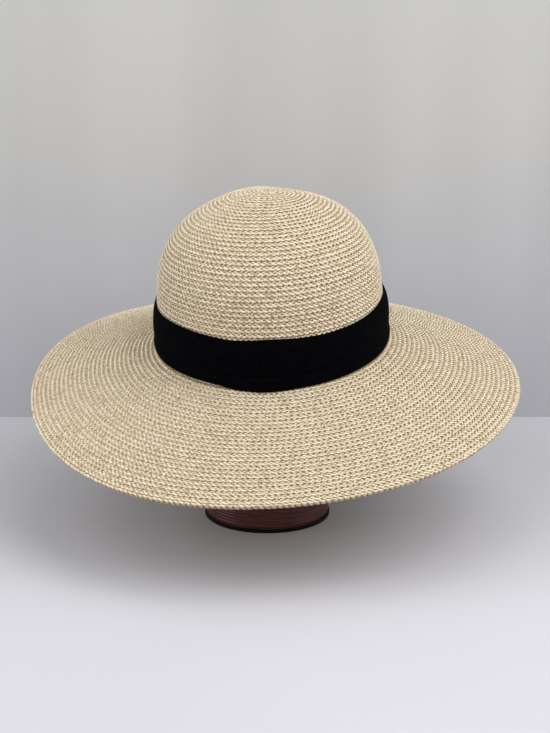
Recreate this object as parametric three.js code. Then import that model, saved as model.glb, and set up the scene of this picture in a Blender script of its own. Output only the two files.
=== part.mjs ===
// A wide-brim straw hat with a pleated ribbon band and a flat side bow, tipped forward on a plain stand.
// Millimetres, +Z up, the front of the hat towards -Y.
// The origin is the centre of the stand's foot, on the surface that it stands on.
import * as THREE from 'three';
import { mergeVertices } from 'three/addons/utils/BufferGeometryUtils.js';

// Sides of the round pieces
const HAT_SIDES = 48;
const DRUM_SIDES = 40;
const POST_SIDES = 24;

// Clearance between pieces that touch on the real hat
const CLEARANCE = 0.35;

// Place of the hat, at the centre of the line where crown and brim meet, and its tilt in degrees
const HAT_PLACE = new THREE.Vector3(3.9, 5.1, 142.1);
const HAT_TILT = { forward: 8.8, sideways: -2.8, turn: 1.3 };

// Sewn straw wall
const STRAW = 2.2;
const SEAM_HEIGHT = 8;

// Crown outline across the hat, from the seam behind the band up to the tip
const CROWN_ROWS = [
  { height: SEAM_HEIGHT, halfWidth: 88.4 },
  { height: 20.7, halfWidth: 88.2 },
  { height: 34.0, halfWidth: 87.4 },
  { height: 48.0, halfWidth: 86.1 },
  { height: 63.8, halfWidth: 83.9 },
  { height: 83.8, halfWidth: 76.0 },
  { height: 100.1, halfWidth: 61.4 },
  { height: 112.5, halfWidth: 39.8 },
  { height: 118.8, halfWidth: 22.3 },
  { height: 121.3, halfWidth: 0 },
];
const CROWN_STEPS_PER_ROW = 2;
const TIP_ROW = CROWN_ROWS.length - 1;
const WALL_TOP_ROW = 2;
const CROWN_BASE = CROWN_ROWS[0].halfWidth;

// The left shoulder of the crown, seen from the front, is a little flattened
const FLAT_SHOULDER = { depth: 0.4, height: 94, spread: 22, fadeHalfWidth: 40 };

// The crown's rows lean back towards its tip, from none at one height to all at another
const LEAN = { back: THREE.MathUtils.degToRad(4.4), from: 20, to: 115 };

// The head opening is an oval: how much longer than wide it is, fading to round at the tip
const OVAL = 0.14;

// Brim: width beyond the crown, the small fillet at its foot, and the height of its edge all round
const BRIM_WIDTH = { mean: 103.7, side: 0.7 };
const BRIM_FOOT = { top: 4.4, height: 1.8, reach: 3.2 };
const BRIM_ROWS = 6;
const EDGE_MEAN_HEIGHT = -36.2;
const EDGE_WAVES = [
  { turns: 1, cosine: -5.0, sine: 1.3 },
  { turns: 2, cosine: 2.9, sine: -3.8 },
  { turns: 3, cosine: -0.5, sine: 2.0 },
  { turns: 4, cosine: 0.3, sine: -0.6 },
];

// Band from its top edge down: a tall upper pleat, a crease, and a lower pleat that it overlaps
const BAND_ROWS = [
  { height: 39.4, standOff: 0.8 },
  { height: 37.0, standOff: 1.4 },
  { height: 33.0, standOff: 2.6 },
  { height: 27.0, standOff: 3.3 },
  { height: 20.0, standOff: 3.3 },
  { height: 14.6, standOff: 3.0 },
  { height: 12.4, standOff: 2.1 },
  { height: 10.6, standOff: 3.1 },
  { height: 6.0, standOff: 3.7 },
  { height: 2.6, standOff: 3.5 },
  { height: 1.4, standOff: 2.8 },
  { height: 2.2, standOff: 1.7 },
  { height: 5.4, standOff: CLEARANCE },
  { height: 20.7, standOff: CLEARANCE },
  { height: 34.0, standOff: CLEARANCE },
  { height: 38.9, standOff: CLEARANCE },
];

// Side bow on the upper pleat: its centre round the hat, and the loops and knot along and off the band
const BOW = {
  centre: THREE.MathUtils.degToRad(50),
  middleHeight: 26,
  back: 4.3,
  ribbon: 1.0,
};
const LOOP = {
  length: 36,
  steps: 28,
  puffAtKnot: 0.9,
  puffAtEnd: 1.4,
  halfHeightAtKnot: 8,
  halfHeightAtEnd: 11.6,
};
const KNOT = { halfLength: 5.6, halfDepth: 2.8, halfHeight: 9.5, columns: 14, rows: 8, squareness: 0.55 };

// Stand
const FOOT = { radius: 50.3, height: 3.2, bevel: 0.6 };
const DRUM = { radius: 49, height: 34, grooves: 9, grooveDepth: 0.7, edge: 1.2 };
const POST = { radius: 14 };
const CAP = { rows: 5, rimHalfWidth: 52, rimHeight: 98, undersideHalfWidth: 49, undersideHeight: 92 };

// Finishes
const straw = new THREE.MeshStandardMaterial({ color: 0xc8b795, roughness: 0.85, metalness: 0 });
const ribbon = new THREE.MeshStandardMaterial({ color: 0x08080b, roughness: 0.8, metalness: 0 });
const turnedWood = new THREE.MeshStandardMaterial({ color: 0x4a2f2c, roughness: 0.5, metalness: 0 });
const blackFoot = new THREE.MeshStandardMaterial({ color: 0x100d0e, roughness: 0.6, metalness: 0 });

// Half length of the oval whose half width is given
function halfLengthFor(halfWidth) {
  return halfWidth * (1 + OVAL * Math.sqrt(halfWidth / CROWN_BASE));
}

// A point round the hat, at a distance off the oval of the given half width
function onOval(angle, halfWidth, offset, height) {
  return new THREE.Vector3(
    (halfWidth + offset) * Math.cos(angle),
    (halfLengthFor(halfWidth) + offset) * Math.sin(angle),
    height,
  );
}

// A closed body skinned over columns of points that stand round a ring.
// A column is a closed loop, or it runs from one shared end point to another when pole is true.
function skin(columns, pole) {
  const rows = columns[0].length;
  const positions = columns.flat().flatMap((point) => point.toArray());
  const triangles = [];
  const lastRow = pole ? rows - 1 : rows;
  for (let column = 0; column < columns.length; column += 1) {
    const here = column * rows;
    const next = ((column + 1) % columns.length) * rows;
    for (let row = 0; row < lastRow; row += 1) {
      const below = (row + 1) % rows;
      const startsAtPole = pole && row === 0;
      const endsAtPole = pole && row === rows - 2;
      if (!endsAtPole) triangles.push(here + row, here + below, next + below);
      if (!startsAtPole) triangles.push(here + row, next + below, next + row);
    }
  }
  const geometry = new THREE.BufferGeometry();
  geometry.setAttribute('position', new THREE.Float32BufferAttribute(positions, 3));
  geometry.setIndex(triangles);
  const welded = mergeVertices(geometry, 1e-4);
  if (signedVolume(welded) < 0) flip(welded);
  welded.computeVertexNormals();
  return welded;
}

// Volume of a closed mesh, negative when its faces point inwards
function signedVolume(geometry) {
  const position = geometry.getAttribute('position');
  const index = geometry.getIndex().array;
  const corners = [new THREE.Vector3(), new THREE.Vector3(), new THREE.Vector3()];
  let volume = 0;
  for (let start = 0; start < index.length; start += 3) {
    corners.forEach((corner, side) => corner.fromBufferAttribute(position, index[start + side]));
    volume += corners[0].dot(corners[1].clone().cross(corners[2])) / 6;
  }
  return volume;
}

// Turn every face of a mesh over
function flip(geometry) {
  const index = geometry.getIndex().array;
  for (let start = 0; start < index.length; start += 3) {
    [index[start + 1], index[start + 2]] = [index[start + 2], index[start + 1]];
  }
}

// Columns at even angles all round, from a function that gives the column at an angle
function allRound(sides, columnAt) {
  return Array.from({ length: sides }, (_, side) => columnAt((2 * Math.PI * side) / sides));
}

// A turned piece: rows of radius and height from the top of its axis to the bottom of it
function turned(rows, sides) {
  const columns = allRound(sides, (angle) =>
    rows.map(({ radius, height }) =>
      new THREE.Vector3(radius * Math.cos(angle), radius * Math.sin(angle), height)));
  return skin(columns, true);
}

// Crown outline as a smooth curve, carried past the tip so that it crosses the axis level
const beyondTip = CROWN_ROWS[TIP_ROW - 1];
const crownCurve = new THREE.SplineCurve([
  ...CROWN_ROWS.map(({ halfWidth, height }) => new THREE.Vector2(halfWidth, height)),
  new THREE.Vector2(-beyondTip.halfWidth, beyondTip.height),
]);

// A point of the crown's section at a place along the rows, so deep inside its outer face
function crownPoint(row, depth) {
  const along = row / (TIP_ROW + 1);
  const outer = crownCurve.getPoint(along);
  const tangent = crownCurve.getTangent(along);
  const atTip = row === TIP_ROW;
  return {
    halfWidth: atTip ? 0 : outer.x - tangent.y * depth,
    height: outer.y + (atTip ? -1 : tangent.x) * depth,
  };
}

// Points of the crown's section from one of its rows down to another
function crownRows(from, to, depth) {
  const rows = [];
  for (let step = 0; step <= (from - to) * CROWN_STEPS_PER_ROW; step += 1) {
    rows.push(crownPoint(from - step / CROWN_STEPS_PER_ROW, depth));
  }
  return rows;
}

// A point of the crown at an angle, let in where the shoulder is flattened and raised in front by the lean
function onCrown(angle, { halfWidth, height }) {
  const side = Math.max(0, -Math.cos(angle));
  const nearness = Math.exp(-(((height - FLAT_SHOULDER.height) / FLAT_SHOULDER.spread) ** 2));
  const fade = Math.min(1, halfWidth / FLAT_SHOULDER.fadeHalfWidth);
  const point = onOval(angle, halfWidth, -FLAT_SHOULDER.depth * side * nearness * fade, height);
  const share = THREE.MathUtils.clamp((height - LEAN.from) / (LEAN.to - LEAN.from), 0, 1);
  point.z -= point.y * Math.sin(LEAN.back * share);
  return point;
}

// The crown is a dome with an outer and an inner face, open at the seam behind the band
function crownGeometry() {
  const section = [
    ...crownRows(TIP_ROW, WALL_TOP_ROW, 0),
    ...crownRows(TIP_ROW, WALL_TOP_ROW, STRAW).reverse(),
  ];
  return skin(allRound(HAT_SIDES, (angle) => section.map((row) => onCrown(angle, row))), true);
}

// The crown's wall behind the band, a ring that ends just short of the dome
function crownWallGeometry() {
  const section = [...crownRows(WALL_TOP_ROW, 0, 0), ...crownRows(WALL_TOP_ROW, 0, STRAW).reverse()];
  const topHeight = CROWN_ROWS[WALL_TOP_ROW].height - CLEARANCE;
  const cut = section.map(({ halfWidth, height }) => ({ halfWidth, height: Math.min(height, topHeight) }));
  return skin(allRound(HAT_SIDES, (angle) => cut.map((row) => onCrown(angle, row))), false);
}

// Height of the brim's edge at an angle
function edgeHeight(angle) {
  return EDGE_WAVES.reduce(
    (height, { turns, cosine, sine }) =>
      height + cosine * Math.cos(turns * angle) + sine * Math.sin(turns * angle),
    EDGE_MEAN_HEIGHT,
  );
}

// Upper face of the brim at an angle: a collar inside the band, a fillet, then a slope to the edge
function brimUpperFace(angle) {
  const width = BRIM_WIDTH.mean + BRIM_WIDTH.side * Math.cos(angle);
  const slope = (edgeHeight(angle) - BRIM_FOOT.height) / width;
  const onSlope = (offset) => new THREE.Vector2(offset, BRIM_FOOT.height + slope * offset);
  const fillet = new THREE.QuadraticBezierCurve(
    new THREE.Vector2(0, BRIM_FOOT.top),
    onSlope(0),
    onSlope(BRIM_FOOT.reach),
  );
  const face = [new THREE.Vector2(0, SEAM_HEIGHT - CLEARANCE), ...fillet.getPoints(3)];
  for (let row = 1; row <= BRIM_ROWS; row += 1) {
    const offset = BRIM_FOOT.reach + ((width - BRIM_FOOT.reach) * row) / BRIM_ROWS;
    face.push(onSlope(offset));
  }
  return face;
}

// The brim's lower face lies one straw wall inside its upper face
function brimGeometry() {
  const columns = allRound(HAT_SIDES, (angle) => {
    const upper = brimUpperFace(angle);
    const lower = upper.map((point, row) => {
      const before = upper[Math.max(row - 1, 0)];
      const after = upper[Math.min(row + 1, upper.length - 1)];
      const along = after.clone().sub(before).normalize();
      return new THREE.Vector2(point.x + along.y * STRAW, point.y - along.x * STRAW);
    });
    const section = [...upper, ...lower.reverse()];
    return section.map((point) => onOval(angle, CROWN_BASE, point.x, point.y));
  });
  return skin(columns, false);
}

// Half width of the crown's outer face at a height, straight between its rows
function crownHalfWidthAt(height) {
  const upper = CROWN_ROWS.findIndex((row) => row.height > height);
  if (upper <= 0) return CROWN_BASE;
  const [low, high] = [CROWN_ROWS[upper - 1], CROWN_ROWS[upper]];
  const share = (height - low.height) / (high.height - low.height);
  return THREE.MathUtils.lerp(low.halfWidth, high.halfWidth, share);
}

// The band is one closed ring whose inner face follows the crown
function bandGeometry() {
  const columns = allRound(HAT_SIDES, (angle) =>
    BAND_ROWS.map(({ height, standOff }) => onOval(angle, crownHalfWidthAt(height), standOff, height)));
  return skin(columns, false);
}

// A point of the bow: so far along the band from its centre, so far off the crown, at a height
function onBow(along, standOff, height) {
  const angle = BOW.centre + along / (CROWN_BASE + BOW.back);
  return onOval(angle, CROWN_BASE, standOff, height);
}

// A flat ribbon loop whose back lies on the band: two layers joined by the fold at its free end
function loopGeometry(side) {
  const start = KNOT.halfLength + CLEARANCE;
  const columns = [];
  for (let step = 0; step < LOOP.steps; step += 1) {
    const turn = (2 * Math.PI * step) / LOOP.steps;
    const face = (inset) => {
      const share = (1 - Math.cos(turn)) / 2;
      const along = start + inset + (LOOP.length - 2 * inset) * share;
      const puff = THREE.MathUtils.lerp(LOOP.puffAtKnot, LOOP.puffAtEnd, share);
      const standOff = BOW.back + puff + (puff + BOW.ribbon / 2 - inset) * Math.sin(turn);
      const spread = Math.sqrt(share);
      const halfHeight = THREE.MathUtils.lerp(LOOP.halfHeightAtKnot, LOOP.halfHeightAtEnd, spread);
      return [1, -1].map((end) => onBow(side * along, standOff, BOW.middleHeight + end * halfHeight));
    };
    const [outerTop, outerBottom] = face(0);
    const [innerTop, innerBottom] = face(BOW.ribbon);
    columns.push([outerTop, outerBottom, innerBottom, innerTop]);
  }
  return skin(columns, false);
}

// The knot is a cushion with flattened sides
function knotGeometry() {
  const flattened = (value) => Math.sign(value) * Math.abs(value) ** KNOT.squareness;
  const columns = allRound(KNOT.columns, (angle) => {
    const column = [];
    for (let row = 0; row <= KNOT.rows; row += 1) {
      const tilt = (Math.PI * row) / KNOT.rows;
      const width = row === 0 || row === KNOT.rows ? 0 : flattened(Math.sin(tilt));
      const along = KNOT.halfLength * width * flattened(Math.cos(angle));
      const middle = BOW.back + KNOT.halfDepth - BOW.ribbon / 2;
      const standOff = middle + KNOT.halfDepth * width * flattened(Math.sin(angle));
      column.push(onBow(along, standOff, BOW.middleHeight + KNOT.halfHeight * flattened(Math.cos(tilt))));
    }
    return column;
  });
  return skin(columns, true);
}

// Round foot with a small bevel at its upper edge
function footGeometry() {
  return turned([
    { radius: 0, height: FOOT.height },
    { radius: FOOT.radius - FOOT.bevel, height: FOOT.height },
    { radius: FOOT.radius, height: FOOT.height - FOOT.bevel },
    { radius: FOOT.radius, height: 0 },
    { radius: 0, height: 0 },
  ], DRUM_SIDES);
}

// Turned drum with even grooves round its side
function drumGeometry() {
  const bottom = FOOT.height + CLEARANCE;
  const top = bottom + DRUM.height;
  const pitch = (DRUM.height - 2 * DRUM.edge) / DRUM.grooves;
  const rows = [{ radius: 0, height: top }, { radius: DRUM.radius - DRUM.edge, height: top }];
  for (let groove = 0; groove < DRUM.grooves; groove += 1) {
    const height = top - DRUM.edge - groove * pitch;
    rows.push({ radius: DRUM.radius, height });
    rows.push({ radius: DRUM.radius - DRUM.grooveDepth, height: height - pitch * 0.8 });
  }
  rows.push({ radius: DRUM.radius, height: bottom + DRUM.edge }, { radius: DRUM.radius, height: bottom });
  rows.push({ radius: 0, height: bottom });
  return turned(rows, DRUM_SIDES);
}

// Low domed cap that fits the inside of the crown's top
function capGeometry() {
  const dome = [];
  for (let row = 0; row < CAP.rows; row += 1) {
    dome.push(crownPoint(TIP_ROW - row / CROWN_STEPS_PER_ROW, STRAW + CLEARANCE));
  }
  return skin(allRound(HAT_SIDES, (angle) => [
    ...dome.map((row) => onCrown(angle, row)),
    onOval(angle, CAP.rimHalfWidth, 0, CAP.rimHeight),
    onOval(angle, CAP.undersideHalfWidth, 0, CAP.undersideHeight),
    onOval(angle, 0, 0, CAP.undersideHeight),
  ]), true);
}

// Post whose top is cut to the slant of the cap's underside
function postGeometry(underside) {
  const bottom = FOOT.height + DRUM.height + 2 * CLEARANCE;
  const { normal, constant } = underside;
  const topAt = (x, y) => -(normal.x * x + normal.y * y + constant) / normal.z;
  const columns = allRound(POST_SIDES, (angle) => {
    const x = POST.radius * Math.cos(angle);
    const y = POST.radius * Math.sin(angle);
    return [
      new THREE.Vector3(0, 0, topAt(0, 0)),
      new THREE.Vector3(x, y, topAt(x, y)),
      new THREE.Vector3(x, y, bottom),
      new THREE.Vector3(0, 0, bottom),
    ];
  });
  return skin(columns, true);
}

// A named sub-part with its own material
function piece(name, geometry, material) {
  const mesh = new THREE.Mesh(geometry, material.clone());
  mesh.name = name;
  return mesh;
}

const hat = new THREE.Group();
hat.position.copy(HAT_PLACE);
hat.rotation.set(...[HAT_TILT.forward, HAT_TILT.sideways, HAT_TILT.turn].map(THREE.MathUtils.degToRad));
hat.add(
  piece('crown', crownGeometry(), straw),
  piece('crown_wall', crownWallGeometry(), straw),
  piece('brim', brimGeometry(), straw),
  piece('band', bandGeometry(), ribbon),
  piece('bow_loop_front', loopGeometry(-1), ribbon),
  piece('bow_loop_back', loopGeometry(1), ribbon),
  piece('bow_knot', knotGeometry(), ribbon),
  piece('stand_cap', capGeometry(), turnedWood),
);
hat.updateMatrixWorld(true);

const capUnderside = new THREE.Plane(new THREE.Vector3(0, 0, 1), CLEARANCE - CAP.undersideHeight);
capUnderside.applyMatrix4(hat.matrixWorld);

const assembly = new THREE.Group();
assembly.add(
  hat,
  piece('stand_foot', footGeometry(), blackFoot),
  piece('stand_drum', drumGeometry(), turnedWood),
  piece('stand_post', postGeometry(capUnderside), turnedWood),
);

export default assembly;
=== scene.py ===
"""A wide-brim straw hat on a plain turned stand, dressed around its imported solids.

The hat is one spiral of flat three-strand plait, sewn row on row from the tip of the crown to the edge of
the brim. A pleated black ribbon goes round the crown, with a flat bow on the wearer's left. The stand has
a black foot and a drum with fine turned grooves.

Shapes are worked out in millimetres in the hat's own frame, whose origin is the centre of the line where
crown and brim meet, and are then placed in the part's frame in metres.
"""

import logging
import math
from dataclasses import dataclass
from enum import Enum
from typing import Sequence

import bpy
import numpy as np
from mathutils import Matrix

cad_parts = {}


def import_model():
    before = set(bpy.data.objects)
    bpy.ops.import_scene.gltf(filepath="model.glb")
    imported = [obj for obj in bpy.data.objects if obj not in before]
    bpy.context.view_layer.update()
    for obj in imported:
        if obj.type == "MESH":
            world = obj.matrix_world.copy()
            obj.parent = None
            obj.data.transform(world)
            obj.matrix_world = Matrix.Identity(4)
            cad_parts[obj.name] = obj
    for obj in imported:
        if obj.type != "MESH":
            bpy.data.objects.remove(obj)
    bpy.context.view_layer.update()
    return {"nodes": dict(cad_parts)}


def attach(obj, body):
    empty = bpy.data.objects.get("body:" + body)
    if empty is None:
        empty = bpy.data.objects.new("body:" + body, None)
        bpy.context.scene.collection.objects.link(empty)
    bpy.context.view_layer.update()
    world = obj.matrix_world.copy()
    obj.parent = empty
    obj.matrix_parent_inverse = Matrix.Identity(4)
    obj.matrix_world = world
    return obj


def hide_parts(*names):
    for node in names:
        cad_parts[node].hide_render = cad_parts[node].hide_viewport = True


log = logging.getLogger("straw_hat")

Array = np.ndarray
Material = bpy.types.Material
Piece = bpy.types.Object
Socket = bpy.types.NodeSocket

MM = 0.001
ROOT = "root"


class Slot(Enum):
    """The record's material slots."""

    STRAW = "straw"
    RIBBON = "ribbon"
    WOOD = "stand_wood"
    FOOT = "stand_foot"


# Numbers


def part_way(low: float, high: float, value: Array) -> Array:
    """Rise evenly from 0 at low to 1 at high."""
    return np.clip((value - low) / (high - low), 0.0, 1.0)


def smooth_step(low: float, high: float, value: Array) -> Array:
    """Rise smoothly from 0 at low to 1 at high: 3 t squared less 2 t cubed."""
    share = part_way(low, high, value)
    return share * share * (3 - 2 * share)


def bell(distance: Array, spread: float) -> Array:
    """Fall from 1 at no distance: e to the power of minus the square of distance over spread."""
    return np.exp(-((distance / spread) ** 2))


def unit(vectors: Array) -> Array:
    """Vectors along the last axis, brought to length 1."""
    return vectors / np.maximum(np.linalg.norm(vectors, axis=-1, keepdims=True), 1e-12)


def slow_noise(places: Array, step: float, seed: int) -> Array:
    """Smooth random values from -1 to 1 along a line.

    Args:
        places: Places along the line.
        step: Distance between two independent values.
        seed: Seed of the random values.

    Returns:
        The value at each place, joined by smooth steps.
    """
    low = places.min()
    count = int((places.max() - low) / step) + 3
    values = np.random.default_rng(seed).uniform(-1, 1, count)
    at = (places - low) / step
    before = at.astype(int)
    share = smooth_step(0.0, 1.0, at - before)
    return values[before] * (1 - share) + values[before + 1] * share


def grid(columns: Array, rows: Array) -> tuple[Array, Array]:
    """Column value and row value at each point of a grid."""
    column, row = np.meshgrid(columns, rows, indexing="ij")
    return column, row


def full_turn(count: int) -> Array:
    """Even angles round a full turn in radians."""
    return np.linspace(0, 2 * math.pi, count, endpoint=False)


# Meshes


def signed_volume(points: Array, face_groups: Sequence[Array]) -> float:
    """Volume inside closed faces: a sixth of the sum of a . (b x c) over triangles fanned from corner a."""
    volume = 0.0
    for group in face_groups:
        for at in range(1, group.shape[1] - 1):
            first, second, third = points[group[:, 0]], points[group[:, at]], points[group[:, at + 1]]
            volume += float(np.einsum("ij,ij->", first, np.cross(second, third))) / 6
    return volume


def make_piece(
    name: str,
    points: Array,
    face_groups: Sequence[Array],
    attributes: dict[str, Array] | None = None,
    closed: bool = True,
) -> Piece:
    """Make a smooth-shaded mesh object at the origin.

    Args:
        name: Name of the piece.
        points: Places in metres, one row a point.
        face_groups: Arrays of corner numbers, one row a face, each with its own number of corners.
        attributes: Named values, one a point.
        closed: Whether the faces close round a volume, and are turned so that they face outward.

    Returns:
        The new object, linked to the scene.
    """
    if closed and signed_volume(points, face_groups) < 0:
        face_groups = [group[:, ::-1] for group in face_groups]
    mesh = bpy.data.meshes.new(name)
    corners = np.concatenate([group.ravel() for group in face_groups])
    sides = np.concatenate([np.full(len(group), group.shape[1]) for group in face_groups])
    starts = np.concatenate([[0], np.cumsum(sides)[:-1]])
    mesh.vertices.add(len(points))
    mesh.vertices.foreach_set("co", points.astype(np.float32).ravel())
    mesh.loops.add(len(corners))
    mesh.loops.foreach_set("vertex_index", corners.astype(np.int32))
    mesh.polygons.add(len(sides))
    mesh.polygons.foreach_set("loop_start", starts.astype(np.int32))
    mesh.update(calc_edges=True)
    mesh.polygons.foreach_set("use_smooth", np.ones(len(sides), dtype=bool))
    for title, values in (attributes or {}).items():
        layer = mesh.attributes.new(title, "FLOAT", "POINT")
        layer.data.foreach_set("value", values.astype(np.float32).ravel())
    mesh.validate()
    piece = bpy.data.objects.new(name, mesh)
    bpy.context.scene.collection.objects.link(piece)
    return piece


def ring_faces(columns: int, rows: int, wrap_rows: bool) -> Array:
    """Four-sided faces of a grid whose columns close into a ring.

    Args:
        columns: Number of columns, the last joined to the first.
        rows: Number of points in a column.
        wrap_rows: Whether a column's last point is joined to its first.

    Returns:
        Corner numbers, where point number = column times rows plus row.
    """
    column, row = grid(np.arange(columns), np.arange(rows if wrap_rows else rows - 1))
    after, below = (column + 1) % columns, (row + 1) % rows
    corners = [column * rows + row, column * rows + below, after * rows + below, after * rows + row]
    return np.stack(corners, -1).reshape(-1, 4)


def dress(piece: Piece, finish: Material, slot: Slot, *nodes: str) -> None:
    """Give a piece its material and body, and hide the solids that it stands for.

    Args:
        piece: The piece.
        finish: Its material.
        slot: The record's slot; not used.
        nodes: The solids that it stands for.
    """
    piece.data.materials.append(finish)
    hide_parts(*nodes)
    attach(piece, ROOT)


# Painting


def linear(hex_colour: str) -> tuple[float, float, float, float]:
    """Turn an sRGB colour into a linear one.

    Args:
        hex_colour: Six hex digits, with or without a leading hash.

    Returns:
        Linear red, green and blue, and an alpha of 1. Above 0.04045 a channel is
        ((channel + 0.055) / 1.055) to the power 2.4, and below it is channel / 12.92.
    """
    digits = hex_colour.lstrip("#")
    channels = [int(digits[at : at + 2], 16) / 255 for at in (0, 2, 4)]
    red, green, blue = [
        ((channel + 0.055) / 1.055) ** 2.4 if channel > 0.04045 else channel / 12.92
        for channel in channels
    ]
    return red, green, blue, 1.0


def add_node(
    tree: bpy.types.NodeTree,
    kind: str,
    settings: dict[str, object] | None = None,
    inputs: dict[str | int, object] | None = None,
) -> bpy.types.Node:
    """Add a node with its settings, values and links.

    Args:
        tree: The node tree that gets the node.
        kind: The node's type name.
        settings: Attributes of the node by name.
        inputs: Values of input sockets by name or number. An output socket is linked instead.

    Returns:
        The new node.
    """
    node = tree.nodes.new(kind)
    for name, value in (settings or {}).items():
        setattr(node, name, value)
    for name, value in (inputs or {}).items():
        socket = node.inputs[name]
        if isinstance(value, Socket):
            tree.links.new(value, socket)
        else:
            socket.default_value = value
    return node


# Finishes


class Paint:
    """The nodes of a new material, with a short way to add the kinds that the finishes share."""

    def __init__(self, name: str) -> None:
        """Start a material of that name."""
        self.material = bpy.data.materials.new(name)
        self.material.use_nodes = True
        self.tree = self.material.node_tree
        self.shader = self.tree.nodes["Principled BSDF"]

    def add(self, kind: str, output: str | int, inputs: dict[str | int, object], **settings: str) -> Socket:
        """Add a node of a kind with its inputs and settings, and give back one of its outputs."""
        return add_node(self.tree, "ShaderNode" + kind, settings, inputs).outputs[output]

    def attribute(self, name: str) -> Socket:
        """Value of the piece's own attribute."""
        return self.add("Attribute", "Fac", {}, attribute_name=name)

    def place(self, scale: Sequence[float]) -> Socket:
        """Object coordinates in metres, times a scale along each axis."""
        return self.add("Mapping", "Vector", {"Vector": self.add("TexCoord", "Object", {}), "Scale": scale})

    def math(self, operation: str, first: Socket, second: Socket | float) -> Socket:
        """Result of an operation on two values."""
        return self.add("Math", 0, {0: first, 1: second}, operation=operation)

    def noise(self, place: Socket, detail: float, scale: float = 1.0, roughness: float = 0.5) -> Socket:
        """Noise from 0 to 1 with so many finer layers, and so many cells a unit of the place."""
        inputs = {"Vector": place, "Scale": scale, "Detail": detail, "Roughness": roughness}
        return self.add("TexNoise", "Fac", inputs)

    def smooth(self, value: Socket, low: float, high: float) -> Socket:
        """Smooth rise from 0 at a low value to 1 at a high one."""
        inputs = {"Value": value, "From Min": low, "From Max": high}
        return self.add("MapRange", "Result", inputs, interpolation_type="SMOOTHSTEP")

    def mix(self, share: Socket, first: object, second: object) -> Socket:
        """Blend of two linear colours, the first at share 0."""
        return self.add("Mix", 2, {"Factor": share, 6: first, 7: second}, data_type="RGBA")

    def ramp(self, share: Socket, places: Sequence[float], colours: Sequence[str]) -> Socket:
        """Colour at a share from 0 to 1, between sRGB colours at their places."""
        node = add_node(self.tree, "ShaderNodeValToRGB", inputs={"Fac": share})
        elements = node.color_ramp.elements
        while len(elements) < len(places):
            elements.new(0.5)
        for element, place, colour in zip(elements, places, colours):
            element.position = place
            element.color = linear(colour)
        return node.outputs["Color"]

    def bump(self, height: Socket, strength: float, depth_mm: float) -> None:
        """Raise the surface by a height from 0 to 1 that stands for a depth in millimetres."""
        inputs = {"Strength": strength, "Distance": depth_mm * MM, "Height": height}
        self.tree.links.new(self.add("Bump", "Normal", inputs), self.shader.inputs["Normal"])

    def finish(self, colour: Socket, roughness: float, specular: float) -> Material:
        """Connect the colour, set how rough and how strong the shine is, and give back the material."""
        self.tree.links.new(colour, self.shader.inputs["Base Color"])
        self.shader.inputs["Roughness"].default_value = roughness
        self.shader.inputs["Specular IOR Level"].default_value = specular
        return self.material


@dataclass(frozen=True)
class PaperStraw:
    """Twisted paper straw, plaited from ivory and tan yarns, as used for sewn sun hats.

    Paper yarn is matt with a faint wax shine, and its fine twist shows as streaks along each strand.
    """

    colours: tuple[str, str, str] = ("#b39e79", "#dacbaf", "#e4d8bf")
    colour_places: tuple[float, float, float] = (0.37, 0.49, 0.60)
    # painted shade: the colour that the straw darkens towards where the plait gets little light
    painted_shade_colour: str = "#7f6b48"
    painted_light_span: tuple[float, float] = (0.02, 0.46)
    streak_mm: float = 0.55
    streak_stretch: float = 0.12
    streak_share: float = 0.40
    patch_mm: float = 1.4
    strand_steps: tuple[float, float] = (17.3, 31.7)
    bump: tuple[float, float] = (0.35, 0.12)
    roughness: float = 0.60
    specular: float = 0.35

    def material(self) -> Material:
        """Make the material. It reads the strand, along and across attributes of the plait, and its attribute
        of painted light and shade.
        """
        paint = Paint("paper_straw")
        strand, along, across = [paint.attribute(name) for name in ("strand", "along", "across")]
        # yarns lie side by side in a strand, so streaks are narrow across it and long along it
        streak_place = {
            "X": paint.math("DIVIDE", across, self.streak_mm),
            "Y": paint.math("MULTIPLY", along, self.streak_stretch),
            "Z": paint.math("MULTIPLY", strand, self.strand_steps[0]),
        }
        streaks = paint.noise(paint.add("CombineXYZ", 0, streak_place), detail=2.0, roughness=0.6)
        patch_place = {
            "X": paint.math("DIVIDE", along, self.patch_mm),
            "Y": paint.math("MULTIPLY", strand, self.strand_steps[1]),
        }
        patches = paint.noise(paint.add("CombineXYZ", 0, patch_place), detail=1.0)
        streaks_part = paint.math("MULTIPLY", streaks, self.streak_share)
        patches_part = paint.math("MULTIPLY", patches, 1 - self.streak_share)
        blend = paint.math("ADD", streaks_part, patches_part)
        colour = paint.ramp(blend, self.colour_places, self.colours)
        # painted shade: straw between strands, under crossings, at the tucked edge of each row and on the
        # turns under the brim's edge is darkened towards the shade colour
        painted_light_share = paint.smooth(paint.attribute("painted_light"), *self.painted_light_span)
        paint.bump(streaks, *self.bump)
        return paint.finish(paint.mix(painted_light_share, linear(self.painted_shade_colour), colour), self.roughness, self.specular)


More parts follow.
